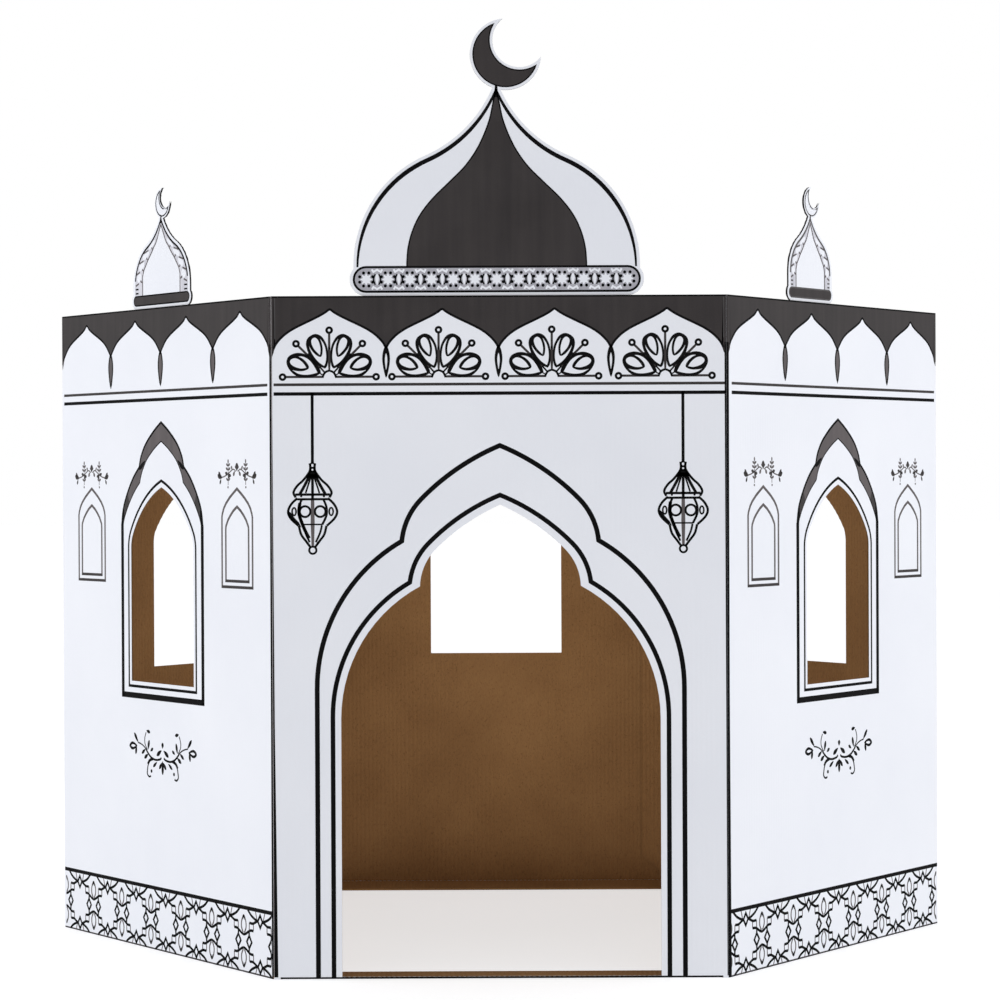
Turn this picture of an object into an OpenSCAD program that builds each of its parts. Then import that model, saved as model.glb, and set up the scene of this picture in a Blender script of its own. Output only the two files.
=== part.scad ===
// Six-sided playhouse of corrugated board: two folded wall sheets joined by glue flaps,
// a domed topper over the doorway and a small turret over each front side wall.
// The front faces -Y, +Z is up and the origin is on the floor at the middle of the plan.

/* [Walls] */
// Width of each wall panel on its outer face, fold to fold
panel_w = 595; // [520:1:700]
// Height of the walls
wall_h = 892; // [800:1:1000]
// Turn of the sheet at each front and back fold, in degrees
fold_turn = 55; // [48:0.5:64]
// Thickness of the corrugated board
board = 3; // [2:0.1:5]

/* [Flaps] */
// Width of the glue flap that closes each corner joint
glue_flap_w = 70; // [50:1:80]
// Height of the slanting cut at each end of a glue flap
glue_flap_cut = 40; // [20:1:60]
// Width at the root of a glue flap that stays uncut
glue_flap_root = 25; // [10:1:40]
// Gap between a glue flap and the floor flap below it
glue_flap_lift = 1; // [0.5:0.1:5]
// Depth of the floor flap folded in at the doorway
front_floor_flap = 45; // [25:1:90]
// Depth of the floor flap folded in under the back window
back_floor_flap = 100; // [50:1:150]
// Distance from each end of a floor flap to the fold or edge beside it
floor_flap_inset = 8; // [4:1:20]
// Sideways run of the slanting cut at each end of a floor flap
floor_flap_cut = 30; // [10:1:60]

/* [Doorway] */
// Clear width of the doorway
door_w = 417; // [400:1:440]
// Height of the doorway's point
door_h = 619; // [560:1:680]
// Height of the arched part, from the top of the straight jambs to the point
door_rise = 279; // [265:1:295]
// Radius of the two lower lobes
door_lobe_r = 196; // [180:1:200]
// Width across the pointed upper lobe
door_point_w = 210; // [204:1:230]
// Height of the upper lobe, from where it starts to close in to the point
door_point_rise = 108; // [100:1:118]
// Radius of the upper lobe's haunches
door_haunch_r = 71; // [60:1:80]
// Arc of each of the upper lobe's haunches, in degrees
door_haunch_turn = 45; // [35:1:46]

/* [Windows] */
// Height of every window sill above the floor
window_sill = 371; // [300:1:420]
// Height of the straight jambs above the sill
window_jamb = 187; // [150:1:210]
// Clear width of the side windows
window_w = 177; // [150:1:220]
// Rise of the side windows' points above their jambs
window_rise = 85; // [70:1:100]
// Clear width of the windows in the two rear side walls
rear_window_w = 201; // [170:1:230]
// Rise of the rear side windows' points above their jambs
rear_window_rise = 96; // [80:1:110]
// Clear width of the back window
back_window_w = 211; // [180:1:260]
// Rise of the back window's point above its jambs
back_window_rise = 101; // [80:1:120]
// Distance of the back window from the middle of its wall, to the right from outside
back_window_shift = 6; // [-30:1:30]
// Radius of the haunches where the jambs turn into the point
haunch_r = 38; // [25:1:50]
// Arc of each haunch, in degrees
haunch_turn = 32; // [25:1:40]

/* [Dome] */
// Distance of the dome from the middle of the front wall, to the left
dome_shift = 3; // [-20:0.5:20]
// White margin between the printed outline of a topper and its cut edge
margin = 4; // [2:0.5:8]
// Width of the dome's printed foot band
band_w = 376; // [330:1:420]
// Height of the dome's printed foot band
band_h = 35; // [28:1:44]
// Width of the dome at its foot
dome_w = 366; // [320:1:380]
// Height of the dome from its foot to its point
dome_h = 233; // [215:1:255]
// Radius of the dome's bulge
dome_bulge_r = 153; // [140:1:165]
// Radius of the hollow curve up to the dome's point
dome_hollow_r = 174; // [150:1:200]
// Outer radius of the crescent
crescent_r = 42.5; // [40:0.5:50]
// Radius of the circle that hollows the crescent
crescent_bite_r = 39.5; // [30:0.5:41]
// Distance between the centres of the crescent's two circles
crescent_shift = 26; // [20:0.5:32]
// Lean of the crescent's opening from straight up, in degrees
crescent_lean = 44.5; // [0:0.5:60]
// Sideways shift of the dome's crescent from the dome's point
crescent_side = 12.5; // [0:0.5:14]
// Width of the glued tab behind the wall, under the dome
dome_tab_w = 300; // [200:1:340]

/* [Turrets] */
// Width of the left turret's printed foot band
left_turret_w = 159; // [140:1:180]
// Width of the right turret's printed foot band
right_turret_w = 118; // [114:1:150]
// Distance of the left turret from the middle of its wall, towards the front
left_turret_shift = -3; // [-60:1:60]
// Distance of the right turret from the middle of its wall, towards the front
right_turret_shift = 71; // [0:1:110]
// Height of a turret's printed foot band
turret_band_h = 15; // [10:1:20]
// Inset of a turret's dome from each end of its foot band
turret_inset = 3; // [1:0.5:8]
// Height of the left turret's dome from its foot to its point
left_turret_h = 106; // [100:1:112]
// Height of the right turret's dome from its foot to its point
right_turret_h = 98; // [92:1:104]
// Height of the straight sides below the left turret's bulge
left_turret_rise = 10; // [5:1:15]
// Height of the straight sides below the right turret's bulge
right_turret_rise = 19; // [14:1:24]
// Radius of the left turret's bulge
left_turret_bulge_r = 63; // [55:1:68]
// Radius of the right turret's bulge
right_turret_bulge_r = 53; // [46:1:54]
// Radius of the hollow curve up to a turret's point
turret_hollow_r = 90; // [75:1:110]
// Outer radius of a turret's crescent
turret_crescent_r = 19; // [15:0.5:24]
// Radius of the circle that hollows a turret's crescent
turret_bite_r = 17; // [13:0.5:18.5]
// Distance between the centres of a turret crescent's two circles
turret_crescent_shift = 11; // [8:0.5:14]
// Sideways shift of a turret's crescent from the turret's point
turret_crescent_side = 4; // [0:0.5:6]
// Inset of a turret's glued tab from each end of its foot band
turret_tab_inset = 20; // [5:1:30]

/* [Topper tabs] */
// Length of each topper's tab glued to the inside of its wall
tab_h = 60; // [40:1:90]

/* [Hidden] */
$fn = 96;
over = 1;
fold_steps = 8;
arc_steps = 20;
board_colour = [0.90, 0.91, 0.94];
half_panel = panel_w / 2;
depth = 2 * panel_w * sin(fold_turn);
far_x = half_panel + panel_w * cos(fold_turn);
door_spring = door_h - door_rise;

// Points on an arc about c from angle a0 to a1
function arc(c, r, a0, a1, n) =
    [for (i = [0 : n]) let (a = a0 + (a1 - a0) * i / n) c + r * [cos(a), sin(a)]];

// A list in reverse order
function reversed(list) = [for (i = [len(list) - 1 : -1 : 0]) list[i]];

// Left-hand points of an outline and their mirror image
function both_sides(left) = concat(left, [for (q = reversed(left)) [-q[0], q[1]]]);

// Angle of a vector
function heading(v) = atan2(v[1], v[0]);

// Plan of one wall sheet: three panels and a glue flap as inner-face corners and headings
headings = [0, fold_turn, 180 - fold_turn, 180];
flap_y = depth / 2 - 2 * board;
flap_x = far_x - board / sin(fold_turn) - flap_y / tan(fold_turn);
corners = [
    [-half_panel, board - depth / 2],
    [half_panel - board * tan(fold_turn / 2), board - depth / 2],
    [far_x - board / sin(fold_turn), 0],
    [flap_x, flap_y],
    [flap_x - glue_flap_w, flap_y]
];
outer_face = [
    for (i = [0 : 3])
        let (a = headings[i] - 90, last = i == 3)
            each last
                ? [corners[i] + board * [cos(a), sin(a)], corners[i + 1] + board * [cos(a), sin(a)]]
                : concat(
                    [corners[i] + board * [cos(a), sin(a)]],
                    arc(corners[i + 1], board, a, headings[i + 1] - 90, fold_steps))
];

// Left half of a pointed opening: jamb, round haunch and a flatter arc up to the point
function lancet_left(w, jamb, rise, round_r, turn) =
    let (
        c = [round_r - w / 2, jamb],
        n = [-cos(turn), sin(turn)],
        start = c + round_r * n,
        point = [0, jamb + rise],
        run = point - start,
        r = -(run * run) / (2 * (n * run)),
        centre = start - r * n
    )
    concat(
        [[-w / 2, 0]],
        arc(c, round_r, 180, 180 - turn, fold_steps),
        arc(centre, r, 180 - turn, heading(point - centre), arc_steps)
    );

// Whole outline of a window, standing on its sill
function window_outline(w, rise) = both_sides(lancet_left(w, window_jamb, rise, haunch_r, haunch_turn));

// Left half of the doorway's upper lobe, from the height where the jambs start to curve
door_point_left = lancet_left(
    door_point_w, door_rise - door_point_rise, door_point_rise, door_haunch_r, door_haunch_turn);

// Left half of an onion dome: straight side, a bulge that runs into a hollow curve, grown by the margin
function onion_left(w, h, rise, bulge_r, hollow_r, grow) =
    let (
        c = [bulge_r - w / 2, rise],
        up = [0, h] - c,
        d = norm(up),
        sum = bulge_r + hollow_r,
        along = (sum * sum - hollow_r * hollow_r + d * d) / (2 * d),
        aside = sqrt(sum * sum - along * along),
        hollow = c + along * up / d + aside * [-up[1], up[0]] / d,
        turn = heading(hollow - c),
        r = hollow_r - grow,
        neck = asin((h - hollow[1]) / r)
    )
    concat(
        [[-w / 2 - grow, -grow]],
        arc(c, bulge_r + grow, 180, turn, arc_steps),
        arc(hollow, r, turn - 180, neck, arc_steps)
    );

// Bar with round ends, standing on its lower edge
module stadium(w, h) {
    translate([-(w - h) / 2, 0]) square([w - h, h]);
    for (side = [-1, 1]) translate([side * (w - h) / 2, h / 2]) circle(d = h);
}

// Crescent about its outer circle's centre
module crescent(r, bite_r, shift) {
    difference() {
        circle(r = r);
        rotate(-crescent_lean) translate([0, shift]) circle(r = bite_r);
    }
}

// Children's outline (along the panel, up) as a slab in a panel's own frame,
// between two depths measured inwards from the outer face
module slab(from_depth, to_depth) {
    translate([0, to_depth, 0]) rotate([90, 0, 0])
        linear_extrude(to_depth - from_depth) children();
}

// Frame of the first, second or third panel of a sheet: X along its outer face, Y inwards
module on_panel(i) {
    starts = [[-half_panel, -depth / 2], [half_panel, -depth / 2], [far_x, 0]];
    translate(starts[i]) rotate([0, 0, headings[i]]) children();
}

// Clear opening of the doorway, from the top of the floor flap to its point
module doorway_outline() {
    translate([-door_w / 2, board]) square([door_w, door_spring - board]);
    for (side = [-1, 1]) {
        translate([side * (door_w / 2 - door_lobe_r), door_spring]) circle(r = door_lobe_r);
    }
    translate([0, door_spring]) polygon(both_sides(door_point_left));
}

// Folded sheet of a main panel, two side panels and a glue flap, with a floor flap;
// the side panel numbered rear stands at the back of the house
module wall_sheet(floor_flap, rear) {
    difference() {
        union() {
            linear_extrude(wall_h) polygon(concat(outer_face, reversed(corners)));
            floor_flap_plate(floor_flap);
        }
        floor_fold_round();
        glue_flap_trim();
        for (i = [1, 2]) {
            opening = i == rear ? [rear_window_w, rear_window_rise] : [window_w, window_rise];
            on_panel(i) translate([half_panel, 0, window_sill])
                slab(-over, board + over) polygon(window_outline(opening[0], opening[1]));
        }
    }
}

// Flap folded in flat on the floor along the main panel's foot
module floor_flap_plate(floor_flap) {
    near = half_panel - floor_flap_inset;
    far = near - floor_flap_cut;
    linear_extrude(board) translate([0, -depth / 2])
        polygon([[-near, 0], [near, 0], [far, floor_flap], [-far, floor_flap]]);
}

// Rounds the outer edge of the fold at the main panel's foot
module floor_fold_round() {
    run = 2 * (half_panel - floor_flap_inset);
    translate([-run / 2, -depth / 2, 0]) rotate([90, 0, 90]) linear_extrude(run)
        difference() {
            translate([-over, -over]) square(board + over);
            translate([board, board]) circle(r = board);
        }
}

// Cuts away the ends of the glue flap around its slanting corners
module glue_flap_trim() {
    foot = board + glue_flap_lift;
    translate([flap_x, flap_y, 0]) rotate([0, 0, 180]) slab(-board - over, over)
        difference() {
            translate([0, -over]) square([glue_flap_w + over, wall_h + 2 * over]);
            polygon([
                [-over, foot], [glue_flap_root, foot], [glue_flap_w, foot + glue_flap_cut],
                [glue_flap_w, wall_h - glue_flap_cut], [glue_flap_root, wall_h], [-over, wall_h]
            ]);
        }
}

// Front wall with the doorway, front right wall, back right wall and its flap on the back wall
module front_sheet() {
    color(board_colour) difference() {
        wall_sheet(front_floor_flap, 2);
        on_panel(0) translate([half_panel, 0, 0]) slab(-over, board + over) doorway_outline();
        translate([-door_w / 2, -depth / 2 - over, -over]) cube([door_w, board + over, board + 2 * over]);
    }
}

// Back wall with its window, back left wall, front left wall and its flap on the front wall
module back_sheet() {
    color(board_colour) rotate([0, 0, 180]) difference() {
        wall_sheet(back_floor_flap, 1);
        on_panel(0) translate([half_panel + back_window_shift, 0, window_sill]) slab(-over, board + over)
            polygon(window_outline(back_window_w, back_window_rise));
    }
}

// Height above the wall's top edge of a dome's point
function point_z(foot_h, h) = margin + foot_h + h;

// Layer of board just behind a wall, in the wall's own frame
module behind_wall() {
    slab(board, 2 * board) children();
}

// Topper above the wall's top edge: foot band, onion dome and the tab that hangs behind the wall
module topper(foot_w, foot_h, w, h, rise, bulge_r, hollow_r, tab_w) {
    behind_wall() stadium(foot_w + 2 * margin, foot_h + 2 * margin);
    behind_wall() translate([0, margin + foot_h])
        polygon(both_sides(onion_left(w, h, rise, bulge_r, hollow_r, margin)));
    behind_wall() translate([-tab_w / 2, -tab_h]) square([tab_w, tab_h + margin + foot_h / 2]);
}

// Large onion dome with a crescent, standing behind the front wall's top edge
module dome_topper() {
    color(board_colour) on_panel(0) translate([half_panel - dome_shift, 0, wall_h]) union() {
        topper(band_w, band_h, dome_w, dome_h, 0, dome_bulge_r, dome_hollow_r, dome_tab_w);
        behind_wall() translate([crescent_side, point_z(band_h, dome_h) + crescent_r])
            crescent(crescent_r + margin, crescent_bite_r - margin, crescent_shift);
    }
}

// Small turret of a given size, in its wall's own frame
module turret(w, h, rise, bulge_r) {
    dome = w - 2 * turret_inset;
    tab = w - 2 * turret_tab_inset;
    top = point_z(turret_band_h, h);
    union() {
        topper(w, turret_band_h, dome, h, rise, bulge_r, turret_hollow_r, tab);
        behind_wall() translate([turret_crescent_side, top + turret_crescent_r])
            crescent(turret_crescent_r + margin / 2, turret_bite_r - margin / 2, turret_crescent_shift);
    }
}

// Small turret behind the front left wall, which is the third panel of the back sheet
module left_turret() {
    color(board_colour) rotate([0, 0, 180]) on_panel(2)
        translate([half_panel + left_turret_shift, 0, wall_h])
            turret(left_turret_w, left_turret_h, left_turret_rise, left_turret_bulge_r);
}

// Small turret behind the front right wall
module right_turret() {
    color(board_colour) on_panel(1)
        translate([half_panel - right_turret_shift, 0, wall_h])
            turret(right_turret_w, right_turret_h, right_turret_rise, right_turret_bulge_r);
}

front_sheet();
back_sheet();
dome_topper();
left_turret();
right_turret();
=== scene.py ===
import math
import bpy
import bmesh
from mathutils import Matrix, Vector
from mathutils.geometry import tessellate_polygon


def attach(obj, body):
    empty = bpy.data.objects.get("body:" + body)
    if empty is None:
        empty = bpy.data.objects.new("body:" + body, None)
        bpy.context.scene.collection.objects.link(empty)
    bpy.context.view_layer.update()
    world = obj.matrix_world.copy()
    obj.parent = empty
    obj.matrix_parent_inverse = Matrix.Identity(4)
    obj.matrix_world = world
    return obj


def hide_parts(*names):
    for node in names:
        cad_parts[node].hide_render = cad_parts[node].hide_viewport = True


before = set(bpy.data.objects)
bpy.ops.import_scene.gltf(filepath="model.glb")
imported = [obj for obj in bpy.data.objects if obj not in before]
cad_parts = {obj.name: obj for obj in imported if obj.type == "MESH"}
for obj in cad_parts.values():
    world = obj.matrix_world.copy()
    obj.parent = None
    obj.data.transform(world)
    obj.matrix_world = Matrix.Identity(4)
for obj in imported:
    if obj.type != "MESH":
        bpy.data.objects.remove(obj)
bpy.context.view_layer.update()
scene = bpy.context.scene
mm = 0.001
upright = Vector((0, 0, 1))

# Driving sizes of the card house, in millimetres, as the solids have them
house = {
    "panelWidth": 595.0,
    "wallHeight": 892.0,
    "foldTurn": 55.0,
    "board": 3.0,
}


# A wall's own frame: x along it to the right seen from outside, y up, z outwards, in millimetres
def wallFrames():
    width, turn = house["panelWidth"], math.radians(house["foldTurn"])
    names = ["front", "frontRight", "backRight", "back", "backLeft", "frontLeft"]
    headings = [0, turn, math.pi - turn, math.pi, math.pi + turn, 2 * math.pi - turn]
    corner = Vector((-width / 2, -width * math.sin(turn), 0)) * mm
    frames = {}
    for name, heading in zip(names, headings):
        along = Vector((math.cos(heading), math.sin(heading), 0))
        out = along.cross(upright)
        turned = Matrix((along, upright, out)).transposed().to_4x4()
        frames[name] = {
            "place": Matrix.Translation(corner) @ turned @ Matrix.Scale(mm, 4),
            "out": out,
            "reach": corner.dot(out),
        }
        corner = corner + along * width * mm
    return frames


walls = wallFrames()
panelMiddle = house["panelWidth"] / 2
print("walls:", ", ".join(walls))


# Node kit for materials, the sky and Geometry Nodes: inputs are plain values or sockets to link

def addNode(tree, kind, inputs=(), **settings):
    node = tree.nodes.new(kind)
    for name, value in settings.items():
        setattr(node, name, value)
    for socket, value in dict(inputs).items():
        if isinstance(value, bpy.types.NodeSocket):
            tree.links.new(value, node.inputs[socket])
        else:
            node.inputs[socket].default_value = value
    return node


def mathNode(tree, operation, *values):
    return addNode(tree, "ShaderNodeMath", enumerate(values), operation=operation).outputs[0]


# Materials

def newMaterial(name):
    material = bpy.data.materials.new(name)
    material.use_nodes = True
    return material, material.node_tree


def noiseOn(tree, scale, detail, stretch=(1, 1, 1)):
    place = addNode(tree, "ShaderNodeTexCoord")
    mapping = addNode(tree, "ShaderNodeMapping", {"Vector": place.outputs["Object"], "Scale": stretch})
    inputs = {"Vector": mapping.outputs["Vector"], "Scale": scale, "Detail": detail}
    return addNode(tree, "ShaderNodeTexNoise", inputs).outputs["Fac"]


def rampOf(tree, source, *stops):
    ramp = addNode(tree, "ShaderNodeValToRGB", {"Fac": source})
    elements = ramp.color_ramp.elements
    for element, (spot, colour) in ((elements[0], stops[0]), (elements[1], stops[-1])):
        element.position = spot
        element.color = (*colour, 1)
    for spot, colour in stops[1:-1]:
        elements.new(spot).color = (*colour, 1)
    return ramp.outputs["Color"]


def rangeOf(tree, source, low, high):
    return addNode(tree, "ShaderNodeMapRange", {"Value": source, "To Min": low, "To Max": high}).outputs["Result"]


def tinted(tree, first, second, share):
    inputs = {"Factor": share, "A": first, "B": second}
    return addNode(tree, "ShaderNodeMix", inputs, data_type="RGBA", blend_type="MULTIPLY").outputs["Result"]


def bumpFrom(tree, source, distance, strength):
    inputs = {"Height": source, "Distance": distance, "Strength": strength}
    return addNode(tree, "ShaderNodeBump", inputs).outputs["Normal"]


def finishPaint(material, colour, roughness, normal, gloss):
    tree = material.node_tree
    shader = tree.nodes["Principled BSDF"]
    for socket, value in (("Base Color", colour), ("Roughness", roughness), ("Normal", normal)):
        tree.links.new(value, shader.inputs[socket])
    shader.inputs["Specular IOR Level"].default_value = gloss
    return material


def whiteLinerMaterial():
    material, tree = newMaterial("whiteLiner")
    cloudy, tooth = noiseOn(tree, 5.0, 3), noiseOn(tree, 1400.0, 2)
    tone = rampOf(tree, cloudy, (0.3, (0.782, 0.802, 0.862)), (0.7, (0.820, 0.838, 0.892)))
    grain = rampOf(tree, tooth, (0.25, (0.955, 0.957, 0.962)), (0.7, (1.0, 1.0, 1.0)))
    roughness, normal = rangeOf(tree, cloudy, 0.44, 0.58), bumpFrom(tree, tooth, 0.00003, 0.35)
    return finishPaint(material, tinted(tree, tone, grain, 1.0), roughness, normal, 0.32)


def kraftMaterial(name, dark, light, fibreShare):
    material, tree = newMaterial(name)
    cloudy, speck = noiseOn(tree, 9.0, 4), noiseOn(tree, 420.0, 1)
    fibre = noiseOn(tree, 900.0, 3, (1, 1, 0.22))
    tone = rampOf(tree, cloudy, (0.3, dark), (0.72, light))
    fleck = rampOf(tree, fibre, (0.3, (0.70, 0.68, 0.64)), (0.55, (1, 1, 1)), (0.8, (1.18, 1.16, 1.12)))
    dots = rampOf(tree, speck, (0.27, (0.62, 0.58, 0.52)), (0.36, (1, 1, 1)))
    colour = tinted(tree, tinted(tree, tone, fleck, fibreShare), dots, 0.7)
    return finishPaint(material, colour, rangeOf(tree, fibre, 0.72, 0.88), bumpFrom(tree, fibre, 0.00006, 0.5), 0.22)


def inkMaterial(name, dark, light, gloss=0.12):
    material, tree = newMaterial(name)
    cloudy, tooth = noiseOn(tree, 14.0, 3), noiseOn(tree, 1400.0, 2)
    streak = noiseOn(tree, 90.0, 3, (1, 1, 0.05))
    tone = rampOf(tree, cloudy, (0.3, dark), (0.7, light))
    worn = rampOf(tree, streak, (0.3, (0.88, 0.88, 0.88)), (0.7, (1.08, 1.07, 1.05)))
    grain = rampOf(tree, tooth, (0.3, (0.86, 0.86, 0.86)), (0.7, (1.0, 1.0, 1.0)))
    colour = tinted(tree, tinted(tree, tone, worn, 1.0), grain, 1.0)
    return finishPaint(material, colour, rangeOf(tree, cloudy, 0.50, 0.64), bumpFrom(tree, tooth, 0.00003, 0.35), gloss)


paints = {
    "white": whiteLinerMaterial(),
    "kraft": kraftMaterial("kraftLiner", (0.242, 0.1225, 0.0445), (0.308, 0.163, 0.062), 0.55),
    "flute": kraftMaterial("flutePaper", (0.235, 0.125, 0.048), (0.305, 0.167, 0.068), 0.4),
    # painted shade: a dark colour given to the toppers' flute sheet and cut edges in place of the shadow they lie in
    "shade": kraftMaterial("paintedShadeFlute", (0.050, 0.046, 0.044), (0.070, 0.064, 0.060), 0.4),
    "mist": inkMaterial("mistInk", (0.580, 0.585, 0.655), (0.660, 0.665, 0.735)),
    "black": inkMaterial("blackInk", (0.0050, 0.0050, 0.0056), (0.0080, 0.0078, 0.0082), 0.02),
    "charcoal": inkMaterial("charcoalInk", (0.038, 0.0335, 0.0345), (0.048, 0.0425, 0.0435)),
    "grey": inkMaterial("greyInk", (0.104, 0.092, 0.096), (0.124, 0.110, 0.114)),
    "pale": inkMaterial("paleInk", (0.400, 0.400, 0.455), (0.460, 0.460, 0.515)),
    "scuff": inkMaterial("scuffedInk", (0.078, 0.074, 0.076), (0.115, 0.111, 0.114)),
}
print("materials:", len(paints))


# Geometry Nodes

def newTree(name, **sockets):
    tree = bpy.data.node_groups.new(name, "GeometryNodeTree")
    for label, kind in {"Geometry": "Geometry", **sockets}.items():
        tree.interface.new_socket(label, in_out="INPUT", socket_type="NodeSocket" + kind)
    tree.interface.new_socket("Geometry", in_out="OUTPUT", socket_type="NodeSocketGeometry")
    return tree, addNode(tree, "NodeGroupInput").outputs, addNode(tree, "NodeGroupOutput")


# Closing nodes of every tree: the instances made real, then the finish
def closeTree(tree, geometry, given, sink):
    realize = addNode(tree, "GeometryNodeRealizeInstances", {"Geometry": geometry})
    inputs = {"Geometry": realize.outputs["Geometry"], "Material": given["Finish"]}
    finish = addNode(tree, "GeometryNodeSetMaterial", inputs)
    tree.links.new(finish.outputs["Geometry"], sink.inputs["Geometry"])
    return tree


# Ripples a flat sheet along x, from its face down by Height
def rippleTree():
    tree, given, sink = newTree("fluteRipple", Pitch="Float", Height="Float", Finish="Material")
    spot = addNode(tree, "GeometryNodeInputPosition")
    parts = addNode(tree, "ShaderNodeSeparateXYZ", {"Vector": spot.outputs["Position"]})
    turns = mathNode(tree, "DIVIDE", parts.outputs["X"], given["Pitch"])
    wave = mathNode(tree, "COSINE", mathNode(tree, "MULTIPLY", turns, 2 * math.pi))
    half = mathNode(tree, "MULTIPLY", given["Height"], 0.5)
    dip = mathNode(tree, "MULTIPLY", mathNode(tree, "SUBTRACT", wave, 1.0), half)
    shift = addNode(tree, "ShaderNodeCombineXYZ", {"Z": dip})
    inputs = {"Geometry": given["Geometry"], "Offset": shift.outputs["Vector"]}
    move = addNode(tree, "GeometryNodeSetPosition", inputs)
    return closeTree(tree, move.outputs["Geometry"], given, sink)


# Repeats one printed motif in a straight row
def rowTree():
    sockets = {"Motif": "Object", "Count": "Int", "Start": "Vector", "Step": "Vector", "Finish": "Material"}
    tree, given, sink = newTree("motifRow", **sockets)
    inputs = {"Count": given["Count"], "Start Location": given["Start"], "Offset": given["Step"]}
    line = addNode(tree, "GeometryNodeMeshLine", inputs)
    info = addNode(tree, "GeometryNodeObjectInfo", {"Object": given["Motif"]})
    inputs = {"Points": line.outputs["Mesh"], "Instance": info.outputs["Geometry"]}
    place = addNode(tree, "GeometryNodeInstanceOnPoints", inputs)
    return closeTree(tree, place.outputs["Instances"], given, sink)


def nodesResult(tree, mesh, values):
    carrier = bpy.data.objects.new("carrier", mesh)
    scene.collection.objects.link(carrier)
    modifier = carrier.modifiers.new("nodes", "NODES")
    modifier.node_group = tree
    for item in tree.interface.items_tree:
        if item.in_out == "INPUT" and item.name in values:
            modifier[item.identifier] = values[item.name]
    carrier.update_tag()
    bpy.context.view_layer.update()
    graph = bpy.context.evaluated_depsgraph_get()
    result = bpy.data.meshes.new_from_object(carrier.evaluated_get(graph))
    carrier.modifiers.remove(modifier)
    bpy.data.objects.remove(carrier)
    return result


ripple = rippleTree()
row = rowTree()


# Corrugated board: each solid's faces become two paper liners with a fluted sheet between them
boardLook = {
    "pitch": 6.5,         # flutes stand upright
    "stepsPerFlute": 8,
    "recess": 0.12,       # the printed ink lies in this depth
    "liner": 0.34,
    "fluteSheet": 0.26,
    "outerRipple": 0.05,
    "innerRipple": 0.42,
    "smallestPanel": 0.003,   # square metres, below it a face belongs to a fold
}


def nearestWall(point):
    return min(walls.values(), key=lambda wall: wall["reach"] - point.dot(wall["out"]))


# Which liner a face of the solid belongs to: the printed one, the kraft one, or none at a cut edge
def linerSide(face):
    centre, normal = face.calc_center_median(), face.normal
    wall = nearestWall(centre)
    depth = wall["reach"] - centre.dot(wall["out"])
    facing = normal.dot(wall["out"])
    lowDown = centre.z < 1.4 * house["board"] * mm
    if lowDown and normal.z > 0.5:
        return "kraft"
    if lowDown and normal.z < -0.5 and (centre.z > 0.0001 or depth > 1.04 * house["board"] * mm):
        return "white"
    if abs(facing) < 0.5:
        return "edge"
    return "white" if facing > 0 else "kraft"


# Splits a flat outline into columns one flute step wide, exact along its edges
def columnSheet(edges, breaks):
    edges = [(a, b) if a[0] < b[0] else (b, a) for a, b in edges]
    cells, marks = [], [set() for _ in breaks]
    for i, (left, right) in enumerate(zip(breaks, breaks[1:])):
        middle = (left + right) / 2
        cuts = []
        for (u0, v0), (u1, v1) in edges:
            if u0 < middle < u1:
                slope = (v1 - v0) / (u1 - u0)
                cuts.append(tuple(round(v0 + slope * (u - u0), 7) for u in (middle, left, right)))
        cuts.sort()
        for low, high in zip(cuts[::2], cuts[1::2]):
            cells.append((i, low, high))
            marks[i].update((low[1], high[1]))
            marks[i + 1].update((low[2], high[2]))
    index, points, polygons = {}, [], []
    for i, low, high in cells:
        right = sorted(v for v in marks[i + 1] if low[2] <= v <= high[2])
        left = sorted((v for v in marks[i] if low[1] <= v <= high[1]), reverse=True)
        ring = []
        for key in [(i + 1, v) for v in right] + [(i, v) for v in left]:
            if key not in index:
                index[key] = len(points)
                points.append((breaks[key[0]] - breaks[0], key[1], 0))
            ring.append(index[key])
        if len(ring) > 2:
            polygons.append(ring)
    mesh = bpy.data.meshes.new("columns")
    mesh.from_pydata(points, [], polygons)
    return mesh


# One flat stretch of board: its frame, its flute pitch and its columns
def flatStretch(faces):
    normal = faces[0].normal.copy()
    along = upright.cross(normal).normalized() if abs(normal.z) < 0.5 else Vector((1, 0, 0))
    across = normal.cross(along)
    group = set(faces)
    outline = [e for e in {e for f in faces for e in f.edges} if sum(f in group for f in e.link_faces) == 1]
    edges = [[(v.co.dot(along), v.co.dot(across)) for v in e.verts] for e in outline]
    corners = sorted({round(u, 6) for edge in edges for u, _ in edge})
    low, high = corners[0], corners[-1]
    pitch = (high - low) / max(1, round((high - low) / (boardLook["pitch"] * mm)))
    step = pitch / boardLook["stepsPerFlute"]
    breaks = [corners[0]]
    for u in corners[1:]:
        if u - breaks[-1] > 0.00002:
            breaks.append(u)
    regular = [low + step * i for i in range(1, int(round((high - low) / step)))]
    breaks = sorted(breaks + [u for u in regular if min(abs(u - b) for b in breaks) > 0.00015])
    place = Matrix((along, across, normal)).transposed().to_4x4()
    place.translation = along * low + normal * faces[0].verts[0].co.dot(normal)
    return {"sheet": columnSheet(edges, breaks), "pitch": pitch, "place": place}


def addRippled(target, stretch, height, drop, finish):
    values = {"Pitch": stretch["pitch"], "Height": height * mm, "Finish": finish}
    mesh = nodesResult(ripple, stretch["sheet"], values)
    mesh.transform(stretch["place"] @ Matrix.Translation((0, 0, -drop * mm)))
    target.from_mesh(mesh)
    bpy.data.meshes.remove(mesh)


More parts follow.
